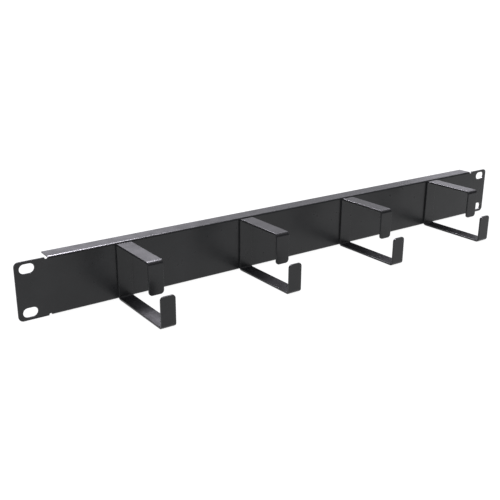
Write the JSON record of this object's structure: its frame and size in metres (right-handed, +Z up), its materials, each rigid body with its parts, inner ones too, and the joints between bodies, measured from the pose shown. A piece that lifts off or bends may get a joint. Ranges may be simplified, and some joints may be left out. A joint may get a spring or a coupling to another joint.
{
  "type": "horizontal cable manager",
  "caption": "Low rack panel folded from black steel sheet, with slotted ears and open C-shaped strip hooks along its front that carry cables sideways.",
  "frame": {"origin": "centre of the four rack slots, on the plane of the ears' back faces, where they meet the rack rails", "axes": "+X along the panel's width, +Y to the back, towards the rack rails, +Z up; the hooks stand out towards -Y"},
  "size_m": [0.4826, 0.0772, 0.0434],
  "materials": {
    "black_powder_coat": "satin black powder coat, fine texture"
  },
  "bodies": {
    "root": {"panel": "black_powder_coat", "cable_hook_1": "black_powder_coat", "cable_hook_2": "black_powder_coat", "cable_hook_3": "black_powder_coat", "cable_hook_4": "black_powder_coat"}
  },
  "joints": []
}
